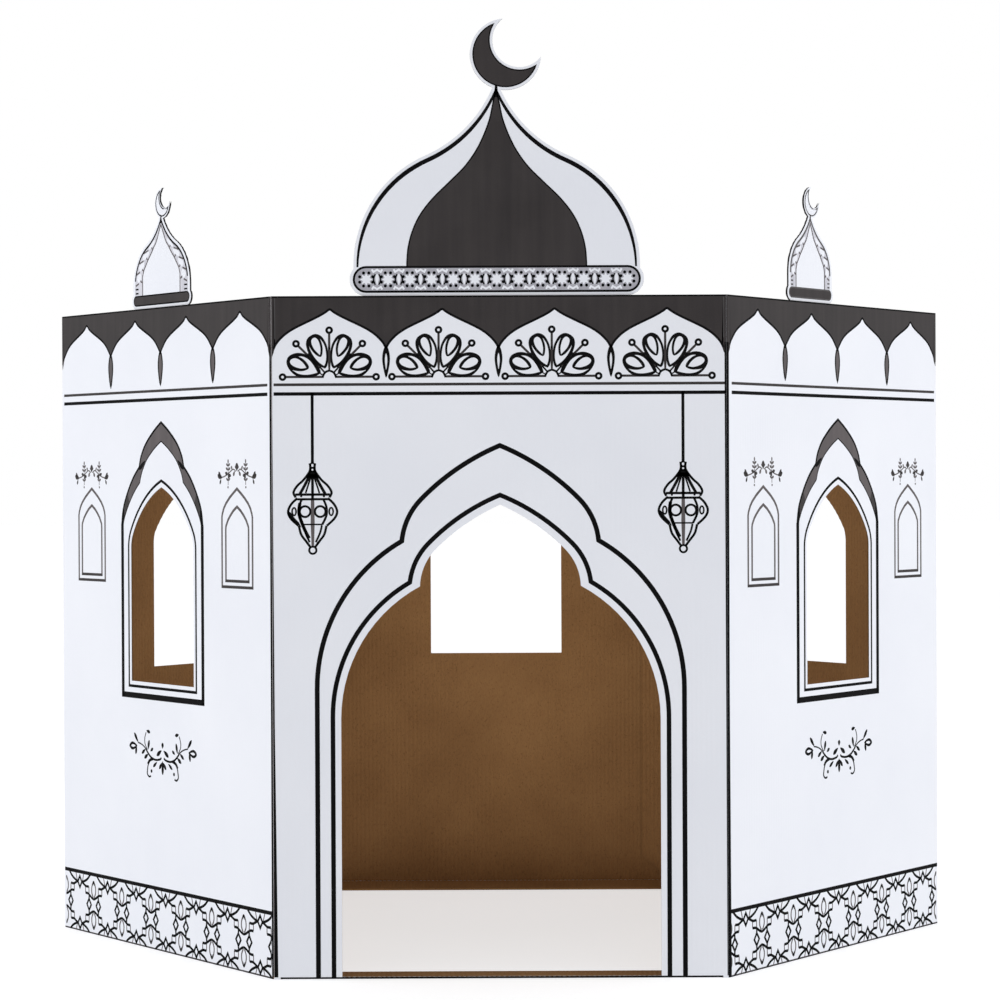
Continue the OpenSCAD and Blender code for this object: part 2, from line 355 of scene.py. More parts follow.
# Gives an open surface the thickness of its paper, on the side away from its normals
def paperShell(surface, recess, paper):
    bmesh.ops.remove_doubles(surface, verts=surface.verts, dist=0.000004)
    surface.normal_update()
    points, faces = list(surface.verts), list(surface.faces)
    loops = [loop for f in faces for loop in f.loops if len(loop.edge.link_faces) == 1]
    rim = [(loop.vert, loop.link_loop_next.vert) for loop in loops]
    back = {}
    for v in points:
        way = v.normal.copy()
        back[v] = surface.verts.new(v.co - way * (recess + paper) * mm)
        v.co -= way * recess * mm
    for f in faces:
        surface.faces.new([back[v] for v in reversed(f.verts)]).material_index = 1
    for a, b in rim:
        surface.faces.new((b, a, back[a], back[b])).material_index = 1


def finishPiece(name, mesh, materials):
    for material in materials:
        mesh.materials.append(material)
    piece = bpy.data.objects.new(name, mesh)
    scene.collection.objects.link(piece)
    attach(piece, "root")
    return piece


def corrugatedBoard(name, node, slot):
    look = boardLook
    solid = bmesh.new()
    solid.from_mesh(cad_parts[node].data)
    bmesh.ops.remove_doubles(solid, verts=solid.verts, dist=0.000002)
    solid.normal_update()
    # toppers: the flute sheet gets the painted shade colour instead of flute paper
    fluted = "shade" if slot == "topper_board" else "flute"
    layers = {"white": bmesh.new(), "kraft": bmesh.new(), "flute": bmesh.new()}
    ripples = {"white": look["outerRipple"], "kraft": look["innerRipple"]}
    flats, folds = {}, {"white": [], "kraft": []}
    for face in solid.faces:
        side = linerSide(face)
        if side != "edge":
            n = face.normal
            plane = (side, round(n.x, 3), round(n.y, 3), round(n.z, 3), round(face.verts[0].co.dot(n), 4))
            flats.setdefault(plane, []).append(face)
    for (side, *_), faces in flats.items():
        if sum(f.calc_area() for f in faces) < look["smallestPanel"]:
            folds[side] += faces
            continue
        stretch = flatStretch(faces)
        addRippled(layers[side], stretch, ripples[side], 0, paints[side])
        if side == "white":
            below = look["recess"] + look["liner"] + look["outerRipple"]
            height = house["board"] - below - look["liner"] - look["innerRipple"] - look["fluteSheet"]
            addRippled(layers["flute"], stretch, height, below, paints[fluted])
    for side, faces in folds.items():
        for face in faces:
            layers[side].faces.new([layers[side].verts.new(v.co) for v in face.verts])
    paperShell(layers["white"], look["recess"], look["liner"])
    paperShell(layers["kraft"], 0, look["liner"])
    paperShell(layers["flute"], 0, look["fluteSheet"])
    whole = bmesh.new()
    for index, layer in enumerate(layers.values()):
        part = bpy.data.meshes.new("layer")
        layer.to_mesh(part)
        before = len(whole.faces)
        whole.from_mesh(part)
        whole.faces.ensure_lookup_table()
        for face in whole.faces[before:]:
            # toppers: the back faces and cut-edge faces of every layer get the painted shade colour too
            cut = face.material_index == 1 and slot == "topper_board"
            face.material_index = 2 if cut else index
            face.smooth = True
        bpy.data.meshes.remove(part)
        layer.free()
    mesh = bpy.data.meshes.new(name)
    whole.to_mesh(mesh)
    whole.free()
    solid.free()
    mesh.set_sharp_from_angle(angle=math.radians(35))
    piece = finishPiece(name, mesh, [paints[side] for side in ("white", "kraft", fluted)])
    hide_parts(node)
    print("board", name, "faces", len(mesh.polygons))
    return piece


for name, node, slot in (
    ("frontBoard", "front_sheet", "wall_board"),
    ("backBoard", "back_sheet", "wall_board"),
    ("domeBoard", "dome_topper", "topper_board"),
    ("leftTurretBoard", "left_turret", "topper_board"),
    ("rightTurretBoard", "right_turret", "topper_board"),
):
    corrugatedBoard(name, node, slot)


# Drawing kit: a patch is a list of loops in millimetres on a wall, the outer one first

def arcPoints(centre, radius, start, end, steps=16):
    turns = [start + (end - start) * i / steps for i in range(steps + 1)]
    return [(centre[0] + radius * math.cos(t), centre[1] + radius * math.sin(t)) for t in turns]


def curveThrough(points, closed=False, steps=5):
    count = len(points)
    spans = count if closed else count - 1
    result = []
    for i in range(spans):
        if closed:
            a, b, c, d = (Vector(points[(i + k) % count]) for k in (-1, 0, 1, 2))
        else:
            a, b, c, d = (Vector(points[min(max(i + k, 0), count - 1)]) for k in (-1, 0, 1, 2))
        for s in range(steps):
            t = s / steps
            p = 0.5 * (2 * b + (c - a) * t + (2 * a - 5 * b + 4 * c - d) * t * t + (3 * b - a - 3 * c + d) * t ** 3)
            result.append((p.x, p.y))
    return result if closed else result + [tuple(points[-1])]


def loopArea(loop):
    return sum(a[0] * b[1] - b[0] * a[1] for a, b in zip(loop, loop[1:] + loop[:1])) / 2


def mirrorLoop(loop):
    return [(-x, y) for x, y in reversed(loop)]


def bothHalves(left):
    return left + [(-x, y) for x, y in reversed(left) if abs(x) > 0.001]


def mirrored(patches):
    return patches + [[mirrorLoop(loop) for loop in patch] for patch in patches]


def moved(patches, dx, dy, size=1.0):
    return [[[(x * size + dx, y * size + dy) for x, y in loop] for loop in patch] for patch in patches]


def stroke(points, width, closed=False):
    points = [Vector(p) for p in points]
    count, left, right = len(points), [], []
    for i, p in enumerate(points):
        ways = []
        if i > 0 or closed:
            ways.append((p - points[i - 1]).normalized())
        if i < count - 1 or closed:
            ways.append((points[(i + 1) % count] - p).normalized())
        way = (ways[0] + ways[-1]).normalized()
        side = Vector((-way.y, way.x))
        reach = width / 2 / max(0.45, side.dot(Vector((-ways[-1].y, ways[-1].x))))
        left.append(tuple(p + side * reach))
        right.append(tuple(p - side * reach))
    if closed:
        return [sorted((left, right), key=lambda loop: -abs(loopArea(loop)))]
    return [[left + right[::-1]]]


def bar(u0, v0, u1, v1):
    return [[[(u0, v0), (u1, v0), (u1, v1), (u0, v1)]]]


def disc(centre, radius, steps=20):
    return [[arcPoints(centre, radius, 0, 2 * math.pi, steps)[:-1]]]


def ringLine(centre, radius, width, steps=24):
    return stroke(arcPoints(centre, radius, 0, 2 * math.pi, steps)[:-1], width, closed=True)


# Leaf between two tips, widest nearer to its second tip
def leaf(tip, end, width, hole=0.0):
    a, b = Vector(tip), Vector(end)
    side = Vector((a.y - b.y, b.x - a.x)).normalized()

    def lens(start, finish, wide):
        belly = [start.lerp(finish, t) + side * wide * s for t, s in ((0.3, 0.36), (0.6, 0.5), (0.85, 0.34))]
        other = [start.lerp(finish, t) - side * wide * s for t, s in ((0.85, 0.34), (0.6, 0.5), (0.3, 0.36))]
        return curveThrough([tuple(p) for p in [start, *belly, finish, *other]], closed=True, steps=3)

    loops = [lens(a, b, width)]
    if hole:
        loops.append(lens(a.lerp(b, 0.5 - hole / 2), a.lerp(b, 0.5 + hole / 2), width * hole * 0.62))
    return [loops]


# Strokes from rows of a width and the points of a curve
def strokes(*rows):
    return [p for width, *points in rows for p in stroke(curveThrough(points), width)]


# Leaves from rows of the two tips and a width
def leaves(*rows):
    return [p for u0, v0, u1, v1, width in rows for p in leaf((u0, v0), (u1, v1), width)]


# Ink films: how deep they reach, and where each ink's top lies under the board's face
inkLook = {
    "film": 0.20,
    "tops": {"charcoal": -0.04, "black": -0.02, "scuff": 0.0, "grey": -0.06, "pale": -0.08, "mist": -0.08,
             "white": -0.06},
}
inks = list(inkLook["tops"])


# Patches as a thin closed film whose top lies just under the solid's face
def inkMesh(patches, ink):
    points, faces = [], []
    top = inkLook["tops"][ink]
    bottom = -inkLook["film"]
    for patch in patches:
        loops = [loop if (loopArea(loop) > 0) == (i == 0) else loop[::-1] for i, loop in enumerate(patch)]
        flat = [p for loop in loops for p in loop]
        first, count = len(points), len(flat)
        points += [(x, y, top) for x, y in flat] + [(x, y, bottom) for x, y in flat]
        for tri in tessellate_polygon([[Vector((x, y, 0)) for x, y in loop] for loop in loops]):
            a, b, c = (flat[k] for k in tri)
            turn = (b[0] - a[0]) * (c[1] - a[1]) - (c[0] - a[0]) * (b[1] - a[1])
            if abs(turn) < 1e-9:
                continue
            tri = tri if turn > 0 else tri[::-1]
            faces.append([first + k for k in tri])
            faces.append([first + count + k for k in reversed(tri)])
        start = first
        for loop in loops:
            size = len(loop)
            for k in range(size):
                a, b = start + k, start + (k + 1) % size
                faces.append((a + count, b + count, b, a))
            start += size
    mesh = bpy.data.meshes.new("ink")
    mesh.from_pydata(points, [], faces)
    return mesh


# One motif repeated along a wall through Geometry Nodes, as a layer of its ink
def inkRow(ink, patches, count, start, pitch):
    motif = bpy.data.objects.new("motif", inkMesh(patches, ink))
    scene.collection.objects.link(motif)
    mesh = nodesResult(row, bpy.data.meshes.new("rowStart"), {
        "Motif": motif, "Count": count, "Start": (start, 0, 0), "Step": (pitch, 0, 0), "Finish": paints[ink]})
    bpy.data.objects.remove(motif)
    return ink, mesh


wide = house["panelWidth"]
# The stretch of each wall that lies flat between its folds
flatSpan = {
    "front": (0.2, 593.3), "frontRight": (1.7, 592.8), "backRight": (2.2, 589.6),
    "back": (0.2, 593.3), "backLeft": (1.7, 592.8), "frontLeft": (2.2, 589.6),
}


# Joins a wall's ink films into one piece on the wall, at a depth behind the wall's outer face
def printOn(name, wall, layers, depth=0.0):
    whole = bmesh.new()
    for ink, work in layers:
        mesh = inkMesh(work, ink) if isinstance(work, list) else work
        before = len(whole.faces)
        whole.from_mesh(mesh)
        whole.faces.ensure_lookup_table()
        for face in whole.faces[before:]:
            face.material_index = inks.index(ink)
        bpy.data.meshes.remove(mesh)
    for v in whole.verts:
        v.co.x = min(max(v.co.x, flatSpan[wall][0]), flatSpan[wall][1])
        v.co.y = max(v.co.y, house["board"] if wall in ("front", "back") else 0.3)
    bmesh.ops.dissolve_degenerate(whole, edges=whole.edges, dist=0.001)
    mesh = bpy.data.meshes.new(name)
    whole.to_mesh(mesh)
    whole.free()
    mesh.transform(walls[wall]["place"] @ Matrix.Translation((0, 0, -depth)))
    piece = finishPiece(name, mesh, [paints[ink] for ink in inks])
    print("print", name, "faces", len(mesh.polygons))
    return piece


# Frieze of pointed scallops along a wall's top, with the two lines under it
frontFrieze = {
    "count": 4, "pitch": 146.6, "middle": 296.3, "apex": 874.5, "meet": 824.6, "thinLine": 776.5, "thickLine": 764.5,
    "edge": [(-1, -0.03), (-0.985, 0.03), (-0.935, 0.15), (-0.83, 0.312), (-0.7, 0.452), (-0.55, 0.572), (-0.35, 0.712),
             (-0.18, 0.836), (-0.07, 0.932), (0, 1)],
}
sideFrieze = {
    "count": 4, "pitch": 145.2, "middle": 296.5, "apex": 875.5, "meet": 828.0, "thinLine": 776.5, "thickLine": 764.5,
    "edge": [(-1, -0.02), (-0.97, 0.07), (-0.91, 0.175), (-0.8, 0.345), (-0.65, 0.495), (-0.45, 0.635), (-0.25, 0.765),
             (-0.1, 0.88), (0, 1)],
}
friezeLines = {"thick": 4.5, "thin": 3.6, "edge": 3.0, "rim": 2.2}
dropLook = {"foot": 785.0, "frontWidth": 10.2, "slit": 0.5, "sideWidth": 12.0, "outline": 2.8}


def frieze(look, span):
    half, rise, top = look["pitch"] / 2, look["apex"] - look["meet"], house["wallHeight"]
    first = look["middle"] - half * (look["count"] - 1)
    edge = curveThrough(bothHalves([(s * half, look["meet"] + t * rise) for s, t in look["edge"]]), steps=3)
    field = [[[(half, top), (-half, top)] + edge]]
    tip, head = (0, dropLook["foot"]), (0, look["meet"] + 3)
    ends = []
    for side in (-1, 1):
        wall = 0 if side < 0 else wide
        inner = look["middle"] + side * half * look["count"]
        meet = look["meet"]
        ends += [[[(wall, top), (inner, top), (inner - side * 2, meet + 2), (inner, meet - 6), (wall, meet - 14)]]]
    thick, thin = (stroke([(u, look[line + "Line"]) for u in span], friezeLines[line]) for line in ("thick", "thin"))
    layers = [
        inkRow("charcoal", field, look["count"], first, look["pitch"]),
        ("charcoal", ends + thin),
        inkRow("black", stroke(edge, friezeLines["edge"]), look["count"], first, look["pitch"]),
        ("black", thick + bar(0, top - friezeLines["rim"], wide, top)),
    ]
    gaps = (look["count"] - 1, first + half, look["pitch"])
    if look is frontFrieze:
        layers.append(inkRow("black", leaf(tip, head, dropLook["frontWidth"], dropLook["slit"]), *gaps))
    else:
        drop = leaf(tip, head, dropLook["sideWidth"])
        layers.append(inkRow("grey", drop, *gaps))
        layers.append(inkRow("black", stroke(drop[0][0], dropLook["outline"], True), *gaps))
    return layers


# Fan of looped petals in each front scallop, printed a little off the scallops' middles
palmetteLook = {"places": (75.6, 218.2, 365.8, 513.7), "ring": 3.4, "line": 3.2, "stem": 3.0}


# A closed loop of curves that meet in points
def joined(*runs):
    return [p for run in runs for p in curveThrough(run, steps=3)[:-1]]


def palmette():
    look = palmetteLook
    upper = [
        joined([(5.6, 797.4), (16.3, 802.3), (23.3, 810.3), (28.2, 820), (30.3, 830), (27.6, 837.7), (18.7, 842.6),
                (10.3, 839.7), (5, 831.9), (2.2, 824), (1.4, 812), (2.7, 801.3), (5.6, 797.4)]),
        joined([(11.8, 836.4), (7.3, 829.9), (4.8, 822.4), (3.9, 813), (4.8, 805.5), (6.6, 800.8)],
               [(6.6, 800.8), (13.4, 805.5), (19.9, 813), (24.6, 821.4), (26.2, 827.2)],
               [(26.2, 827.2), (23.6, 822.3), (18, 815.8), (12.4, 812.6), (9.6, 814.4), (8.5, 821.4), (9.3, 828.9),
                (11.8, 836.4)]),
        joined([(12.2, 814.9), (11.3, 821.4), (12.4, 828.9), (15.2, 835.5), (19.4, 837.8), (23.2, 834.5), (22.7, 828.9),
                (19.4, 822.4), (12.2, 814.9)]),
    ]
    lower = [
        joined([(11, 791.6), (16.8, 788), (27, 785.6), (41, 787), (50.3, 793.9), (55.5, 803), (55, 810.2),
                (50.6, 815.2), (41.5, 818), (31, 816), (20.2, 808), (12.4, 797), (11, 791.6)]),
        joined([(40.2, 813.4), (33.9, 813), (26.4, 808.8), (20.4, 801.4), (15.4, 792.2)],
               [(15.4, 792.2), (23.6, 790.1), (32, 789.4), (40.5, 790.9), (48.4, 795.7)],
               [(48.4, 795.7), (43.3, 794.5), (36, 794.1), (30.2, 795.5), (26.5, 798.3), (28.3, 803.7), (33.9, 809.8),
                (40.2, 813.4)]),
        joined([(29.8, 798.6), (33.9, 804.6), (40, 809.6), (46.2, 811), (51, 808), (50.3, 803.7), (45.1, 799.9),
                (36.7, 797.6), (29.8, 798.6)]),
    ]
    rings = [p for spot in ((43.3, 829.9), (61, 786.5), (0, 847.4)) for p in ringLine(spot, look["ring"], look["line"])]
    half = [upper, lower] + rings[:2] + strokes((2.8, (9, 785.4), (7.2, 790), (4.6, 793), (0, 794.8)))
    half += stroke([(12.4, 799.5), (6, 792.4)], 2.2) + stroke([(12.6, 791.4), (8.2, 788.8)], 1.6)
    stems = stroke([(57.4, 786.6), (9, 786.6)], look["stem"]) + stroke([(40.6, 827.2), (26, 812.6)], look["stem"])
    stems += [[[(30, 815.5), (24, 808.8), (13.5, 796.8), (9.8, 799.4), (18, 808), (26, 818.5)]]]
    core = [[[(-1.5, 826), (-2, 808), (-1.1, 795), (1.1, 795), (2, 808), (1.5, 826)]]]
    return mirrored(half) + rings[2:], mirrored(stems) + stroke([(0, 844), (0, 822)], look["stem"]) + core


# Hanging lantern on its string
lanternLook = {"left": 53.0, "right": 536.5, "line": 3.1}


def lantern():
    line = lanternLook["line"]
    half = strokes(
        (line, (3.4, 674), (2.8, 668), (4.4, 662), (12, 652), (20, 644.5), (24.8, 636), (22, 629.5)),
        (3.8, (3, 660), (9.5, 646.5), (16.5, 634)),
        (2.2, (1.8, 657), (5.5, 646), (9, 635)),
        (line, (20, 628.5), (28, 620.5), (32, 611), (28.5, 602), (18.5, 592.5)),
        (3.0, (14, 627), (18, 617), (18, 606), (12.5, 594)),
        (line, (18, 592.5), (15, 581), (8.5, 572), (3.4, 565)),
        (2.6, (12, 593), (9.5, 583), (4, 571)))
    turns = [k * math.pi / 8 for k in range(16)]
    half += ringLine((9.9, 611), 7.0, 2.9) + disc((14.8, 631), 1.5, 8)
    half += stroke([(24.2 + 2.6 * math.cos(t), 611 + 5 * math.sin(t)) for t in turns], 2.2, True)
    heavy = [[curveThrough([(-32.6, 612), (-31.6, 606), (-27.2, 600.4), (-20, 594.4), (-14.4, 590)])
              + curveThrough([(-18, 597), (-24, 603.4), (-28.6, 610)])]]
    heavy += strokes((4.4, (-16.6, 622), (-17.6, 608), (-11.6, 590), (-4.6, 576)))
    middle = stroke([(0, 766), (0, 674)], 3.9) + ringLine((0, 671.2), 3.0, 2.2) + ringLine((0, 665.6), 2.3, 2.0)
    middle += stroke([(0, 660), (0, 627)], 3.6) + ringLine((0, 560.6), 4.7, 2.7)
    middle += [[[(-3.2, 664.5), (3.2, 664.5), (8.6, 655), (-8.6, 655)]]]
    middle += bar(-22.5, 631.6, 22.5, 634.8) + bar(-21, 625.6, 21, 628.6) + bar(-12, 593.2, 13, 595.2)
    stem = [[[(-2.2, 626), (-2.6, 596), (-1.6, 565), (1.6, 565), (2.6, 596), (2.2, 626)]]]
    return mirrored(half) + heavy + middle, stem


# Cusped doorway lines: round lobes that meet a pointed arch with haunches
doorLines = {
    "inner": {"halfWidth": 219.3, "spring": 342.2, "lobe": 203.4, "point": 237.3, "foot": 508.3, "haunch": 85.8,
              "apex": 631.6, "line": 6.0},
    "outer": {"halfWidth": 239.6, "spring": 379.6, "lobe": 222.0, "point": 257.6, "foot": 563.3, "haunch": 90.4,
              "apex": 696.2, "line": 6.3},
}


# The two points where circles meet, the one on the left of the line between their centres first
def circlesMeet(c1, r1, c2, r2):
    a, b = Vector(c1), Vector(c2)
    gap = (b - a).length
    way = (b - a) / gap
    along = (r1 * r1 - r2 * r2 + gap * gap) / (2 * gap)
    aside = Vector((-way.y, way.x)) * math.sqrt(r1 * r1 - along * along)
    return a + way * along + aside, a + way * along - aside


def angleOf(centre, point):
    return math.atan2(point[1] - centre[1], point[0] - centre[0]) % (2 * math.pi)


# Pointed arch with round haunches, left half, from its foot
def lancetLeft(width, foot, spring, apex, haunch, turn=math.radians(32)):
    centre = Vector((haunch - width / 2, spring))
    way = Vector((-math.cos(turn), math.sin(turn)))
    start, point = centre + way * haunch, Vector((0, apex))
    run = point - start
    radius = -run.length_squared / (2 * way.dot(run))
    middle = start - way * radius
    left = [(-width / 2, foot)] + arcPoints(centre, haunch, math.pi, math.pi - turn, 10)
    return left + arcPoints(middle, radius, math.pi - turn, angleOf(middle, point), 14)[1:]


def cuspedArch(look, foot=0.0):
    lobe = (look["lobe"] - look["halfWidth"], look["spring"])
    haunch = (look["haunch"] - look["point"] / 2, look["foot"])
    cusp = min(circlesMeet(lobe, look["lobe"], haunch, look["haunch"]), key=lambda p: p.x)
    arch = lancetLeft(look["point"], look["spring"], look["foot"], look["apex"], look["haunch"], math.radians(44.4))
    left = [(-look["halfWidth"], foot)] + arcPoints(lobe, look["lobe"], math.pi, angleOf(lobe, cusp), 24)
    return bothHalves(left + [p for p in arch if p[1] > cusp.y + 1])


# Ink on the folds: the black line's ends, the frieze's field and the line along the front foot
foldLine = {"low": 0.3, "high": 830.0, "fieldDrop": 7.0, "fieldTop": 891.9, "footInset": 8.5}


def frontPrint():
    low, high = foldLine["low"], foldLine["high"]
    lines, stem = lantern()
    lanterns = (2, lanternLook["left"], lanternLook["right"] - lanternLook["left"])
    door = [p for look in doorLines.values() for p in stroke(cuspedArch(look), look["line"])]
    edges = [[[(0, low), (5.4, low), (2.4, 330), (0.8, 745), (0.8, high), (0, high)]],
             [[(wide - 2.9, low), (wide, low), (wide, high), (wide - 4, high)]]]
    hairs = bar(4.2, 836, 5.2, 889) + bar(wide - 5.4, 836, wide - 4.4, 889)
    petals, stems = ([p for u in palmetteLook["places"] for p in moved(work, u, 0)] for work in palmette())
    return frieze(frontFrieze, (2.8, wide - 2.8)) + [
        ("charcoal", stems),
        ("black", petals),
        inkRow("black", lines, *lanterns),
        inkRow("grey", stem, *lanterns),
        ("black", moved(door, panelMiddle, 0)),
        ("black", edges),
        ("scuff", hairs),
    ]


# Window: thin line round the opening, thick frame with a cusped crown
sideWindow = {"width": 191.0, "apex": 652.0, "frame": 113.6, "middle": 297.5}
rearWindow = {"width": 215.0, "apex": 661.6, "frame": 126.0, "middle": 297.5}
backWindow = {"width": 225.0, "apex": 667.0, "frame": 131.0, "middle": 303.5}
windowLook = {
    "foot": 364.0, "spring": 558.0, "haunch": 46.0, "sill": 347.0, "post": 7.6, "line": 3.9, "outline": 3.4,
    "crownFoot": 590.0,   # the crown's curves start here
}


def windowLines(size):
    look = windowLook
    arch = lancetLeft(size["width"], look["foot"], look["spring"], size["apex"], look["haunch"])
    thin = stroke(bothHalves(arch), look["line"], True)
    half, sill, post = size["frame"], look["sill"], look["post"] / 2
    base = bar(-half - post, sill, half + post, sill + 8)
    start = look["crownFoot"]
    broad, tall = half / sideWindow["frame"], (size["apex"] - start) / (sideWindow["apex"] - start)

    def fitted(points):
        return [(x * broad, start + (y - start) * tall) for x, y in points]

    def crown(lower, upper):
        return bothHalves(fitted(curveThrough(lower) + curveThrough(upper)[1:]))

    outer = crown([(-115.4, 590), (-110.4, 613), (-98, 635), (-81, 656), (-63.2, 671)],
                  [(-63.2, 671), (-57.7, 686), (-44.3, 703), (-21.6, 720.2), (0, 732.8)])
    inner = crown([(-111.8, 590), (-105.5, 603), (-93, 620.5), (-78, 636.5), (-61.8, 649.6)],
                  [(-61.8, 649.6), (-55.8, 663.5), (-41.7, 681), (-20.4, 696), (0, 706.6)])
    posts = bar(-half - post, sill, -half + post, 591) + bar(half - post, sill, half + post, 591)
    waist, shoulder = fitted([(-63.6, 667.5), (-46, 680)])
    ends = leaf(shoulder, waist, 6.4)
    ends += [[fitted([(-117, 590), (-114.4, 604), (-111.4, 613), (-108, 611), (-107.5, 600), (-110, 590)])]]
    shade = [[fitted([(-116, 590), (-110.4, 613), (-98, 635), (-93, 622), (-105.5, 603), (-111.4, 590)])]]
    dark = thin + posts + base + stroke(outer, look["outline"]) + stroke(inner, look["outline"] / 2) + mirrored(ends)
    return tuple(moved(work, size["middle"], 0) for work in (dark, [[outer + inner[::-1]]], mirrored(shade)))


# Blind niche with a small floral crown over it
nicheLook = {"left": 91.5, "right": 504.5, "line": 3.9}


def niche():
    line = nicheLook["line"]
    outer = [(-40, 510), (-40, 603), (-38.6, 608), (-34.8, 615), (-29, 621.5), (-19.5, 629), (-10, 635), (0, 641)]
    inner = [(-30, 518), (-30, 587), (-29.3, 591), (-24, 599), (-17.4, 605.5), (-9.9, 611.5), (0, 617)]
    arches = stroke(bothHalves(outer), line, True) + stroke(bothHalves(inner), line, True)
    feet = bar(-41.6, 508.2, 41.6, 511.6) + bar(-31.6, 516.2, 31.6, 519.6)
    sprig = strokes((1.7, (2.5, 664), (9, 667), (16, 664.5), (25, 660), (35, 657), (44, 656)))
    sprig += stroke([(23, 646), (23, 676)], 1.3) + disc((23.4, 643), 1.6, 10)
    sprig += leaves((23, 674, 23, 680.5, 3.2), (5.5, 664.5, 9.5, 658, 4.6), (12, 666, 15, 671.5, 3.4),
                    (0.6, 667, 5, 671, 3.0))
    for height, reach, size in ((671, 5, 3.2), (665.5, 6, 3.4), (651.5, 5, 3.2)):
        sprig += leaves(*((23, height, 23 + way * reach, height + 3.6, size) for way in (-1, 1)))
    buds = leaves((39, 655.5, 51, 659.5, 7.5), (43, 655.5, 48, 664, 4.6), (42, 654, 45, 647, 3.8),
                  (23, 660, 31, 662.5, 4.6), (23, 660, 15.5, 658, 4.6), (22.6, 661, 20, 654.5, 4.2))
    return arches, mirrored(sprig), mirrored(buds) + leaves((0, 664.5, 0, 675.5, 7.4)) + feet


# Floral swag under a window
def swag():
    half = strokes(
        (3.0, (3.5, 268.5), (8, 265.8), (21, 264.4), (33, 267.2), (41, 272), (47, 277)),
        (1.9, (46, 276.5), (54, 281.3), (63, 284.2), (71, 285.4)),
        (1.8, (44, 277), (50.5, 285), (51, 293), (47, 301)),
        (2.5, (26, 264.8), (36, 262), (41.5, 256), (43.5, 249), (44, 243.5), (39, 239.8), (33.5, 241)),
        (1.9, (31, 266), (38.5, 263), (43.5, 257.5)))
    half += leaves(
        (70, 285.6, 82, 298.5, 5.4), (75, 281.5, 77.5, 268.5, 5.4), (46, 303.5, 35.5, 301.5, 5),
        (42, 277, 38, 291, 5.6), (35, 275.5, 27, 280, 4.6), (49, 277.5, 60, 270.5, 4.8), (41.5, 271, 52.5, 264.5, 5.4),
        (16, 261.5, 27.5, 254, 4.6), (3, 278.5, 17, 270.5, 6.2), (1, 262, 10, 252.5, 5.2))
    half += leaf((73, 280.5), (96, 279.5), 11.5, hole=0.55) + disc((32, 248), 2.5, 12)
    return mirrored(half) + leaves((0, 281.5, 0, 289.5, 6.4), (0, 264, 0, 244.8, 6.4))


# Band of eight-pointed stars along the foot of a side wall
starBorder = {"count": 7, "centre": 41.5, "topLine": 86.0, "topWidth": 5.2, "bold": 3.6, "fine": 2.0,
              "middle": 297.5, "pitch": 84.3}


def starTile(pitch):
    look = starBorder
    half = pitch / 2
    bold, fine = look["bold"], look["fine"]
    quarter = strokes(
        (bold, (17.5, 15.8), (25, 15.6), (31, 13.2), (37, 10.2), (half, 8.6)),
        (bold, (27.5, 25.6), (19, 25.4), (13, 27.6), (6.5, 30.2)),
        (bold, (6.5, 30.2), (14, 32), (24, 36.4), (33, 43.6)))
    quarter += stroke([(28.4, 8.2), (28.8, 13.5)], bold) + leaves((half - 2.6, 28, half, 35.5, 2.6))
    soft = stroke([(17.5, 25.6), (17.5, 15.8)], fine) + stroke([(28, 25.8), (28.4, 15.4)], fine)
    soft += stroke([(8, 31), (12.5, 43.6)], fine)
    soft += strokes((fine + 0.6, (half - 1, 34), (half - 5.5, 26), (half - 5.8, 18), (half - 1.5, 11)))

    def fourfold(work):
        top = mirrored(work)
        return top + [[[(x, -y) for x, y in reversed(loop)] for loop in patch] for patch in top]

    def lifted(work):
        lowest = 0.4 - look["centre"]
        return [[[(x, max(lowest, y) + look["centre"]) for x, y in loop] for loop in patch] for patch in work]

    dark = fourfold(quarter) + fourfold(stroke([(0, 38.2), (6, 30), (0, 21.8), (-6, 30)], bold, True))
    for spot in (-28.4, 28.4):
        dark += stroke([(spot - 6.4, 0), (spot, -8.4), (spot + 6.4, 0), (spot, 8.4)], bold, True)
    return lifted(dark), lifted(fourfold(soft))


def starBand(middle, pitch):
    look = starBorder
    places = (look["count"], middle - pitch * (look["count"] - 1) / 2, pitch)
    dark, soft = starTile(pitch)
    return [
        inkRow("black", dark, *places),
        inkRow("grey", soft, *places),
        ("black", stroke([(1, look["topLine"]), (wide - 1, look["topLine"])], look["topWidth"])),
        ("charcoal", bar(1, 0.3, wide - 1, 2.4)),
    ]


# What the back wall has too: frieze, star band and window
def plainPrint(window, span, middle=starBorder["middle"], pitch=starBorder["pitch"]):
    dark, fields, shade = windowLines(window)
    layers = frieze(sideFrieze, span) + starBand(middle, pitch)
    return layers + [("grey", fields), ("charcoal", shade), ("black", dark)]


# Side wall: niches and a swag as well
def sidePrint(*plain):
    arches, sprigs, buds = niche()
    places = (2, nicheLook["left"], nicheLook["right"] - nicheLook["left"])
    return plainPrint(*plain) + [
        inkRow("grey", arches, *places),
        inkRow("grey", sprigs, *places),
        inkRow("charcoal", buds, *places),
        ("black", moved(swag(), panelMiddle, 0)),
    ]


# The black line's edge on the front right wall, and each wall's lines between the folds
low, high = foldLine["low"], foldLine["high"]
foldEdge = [("black", [[[(0, low), (5, low), (2.6, 380), (3.2, 745), (3.2, high), (0, high)]]])]
rearSpan = (7, 588)
for wall, layers in (
    ("front", frontPrint()),
    ("frontLeft", sidePrint(sideWindow, (7, 584.5), 304.0, 85.2)),
    ("frontRight", sidePrint(sideWindow, (10.5, 588), 294.5) + foldEdge),
    ("backLeft", sidePrint(rearWindow, rearSpan)),
    ("backRight", sidePrint(rearWindow, rearSpan)),
    ("back", plainPrint(backWindow, rearSpan)),
):
    printOn(wall + "Print", wall, layers)


